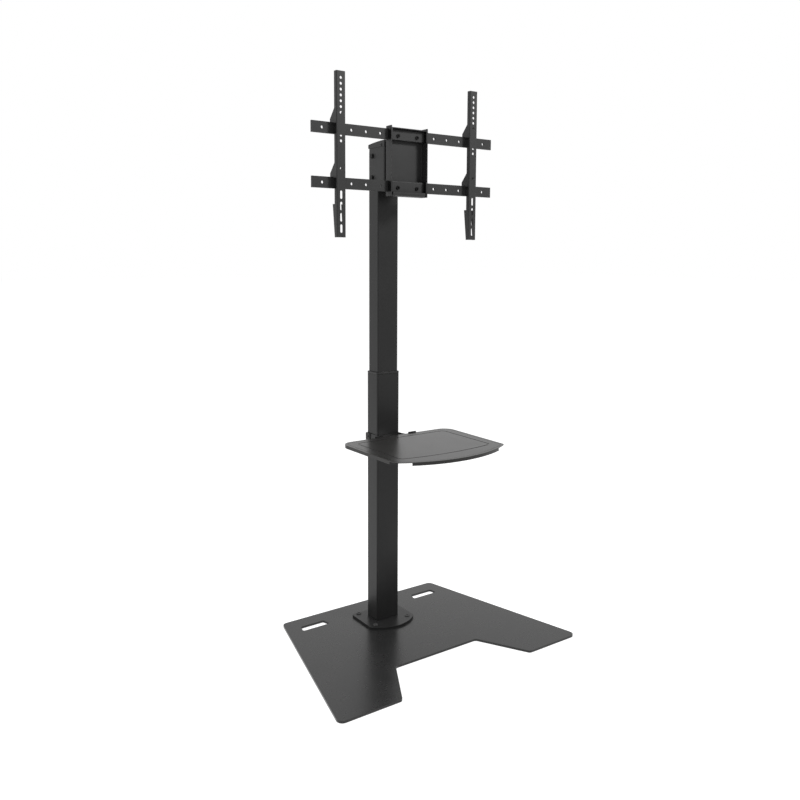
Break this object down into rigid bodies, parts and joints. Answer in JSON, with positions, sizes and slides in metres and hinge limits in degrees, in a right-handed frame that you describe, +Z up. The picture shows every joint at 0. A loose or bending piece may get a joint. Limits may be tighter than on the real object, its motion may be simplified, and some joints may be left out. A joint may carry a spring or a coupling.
{
  "type": "tv floor stand",
  "caption": "Floor stand with a splayed steel base plate, a telescopic rectangular column, a clamped shelf and a swivelling head with rails and hooked arms for a screen.",
  "frame": {"origin": "on the floor, under the middle of the column", "axes": "+Z up along the column, -Y towards the front, where the screen, the shelf and the legs are, +X to the right seen from the front"},
  "size_m": [0.8806, 0.6, 1.7348],
  "materials": {
    "base_coat": "satin black powder coat with a fine texture",
    "column_coat": "satin black powder coat",
    "mount_coat": "satin black powder coat",
    "shelf_coat": "satin black powder coat with a fine texture",
    "black_screws": "black oxide",
    "dark_zinc": "dark zinc plating",
    "black_plastic": "moulded, matt",
    "nylon": "plain nylon"
  },
  "bodies": {
    "stand": {"base_plate": "base_coat", "foot_pads": "black_plastic", "foot_flange": "column_coat", "foot_screws": "black_screws", "lower_tube": "column_coat", "column_collar": "black_plastic", "lock_screws": "black_screws"},
    "mast": {"upper_tube": "column_coat", "tube_glide": "black_plastic", "head_yoke": "mount_coat", "yoke_bolts": "black_screws", "yoke_nuts": "black_screws", "head_cap": "mount_coat", "cap_screws": "black_screws", "swivel_bolt": "dark_zinc", "swivel_washers": "nylon", "swivel_nut": "dark_zinc"},
    "swivel_head": {"rail_frame": "mount_coat", "rail_strips": "mount_coat", "rail_top": "mount_coat", "rail_bottom": "mount_coat", "rail_spacers": "dark_zinc", "rail_guides": "black_plastic", "rail_screws": "black_screws", "rail_nuts": "dark_zinc"},
    "left_arm": {"arm_left": "mount_coat"},
    "right_arm": {"arm_right": "mount_coat"},
    "shelf_unit": {"shelf": "shelf_coat", "shelf_bracket": "column_coat", "shelf_clamp": "column_coat", "clamp_screws": "black_screws", "shelf_nuts": "dark_zinc"}
  },
  "joints": [
    {"name": "column_height", "type": "slide", "parent": "stand", "child": "mast", "axis": [0, 0, 1], "range_m": [-0.3, 0.1]},
    {"name": "shelf_height", "type": "slide", "parent": "stand", "child": "shelf_unit", "axis": [0, 0, 1], "range_m": [-0.4, 0.12]},
    {"name": "head_swivel", "type": "hinge", "parent": "mast", "child": "swivel_head", "pos_m": [0, -0.088, 1.4955], "axis": [0, 0, 1], "range_deg": [-25, 25]},
    {"name": "arm_left_slide", "type": "slide", "parent": "swivel_head", "child": "left_arm", "axis": [1, 0, 0], "range_m": [-0.065, 0.12]},
    {"name": "arm_right_slide", "type": "slide", "parent": "swivel_head", "child": "right_arm", "axis": [1, 0, 0], "range_m": [-0.12, 0.065]}
  ]
}
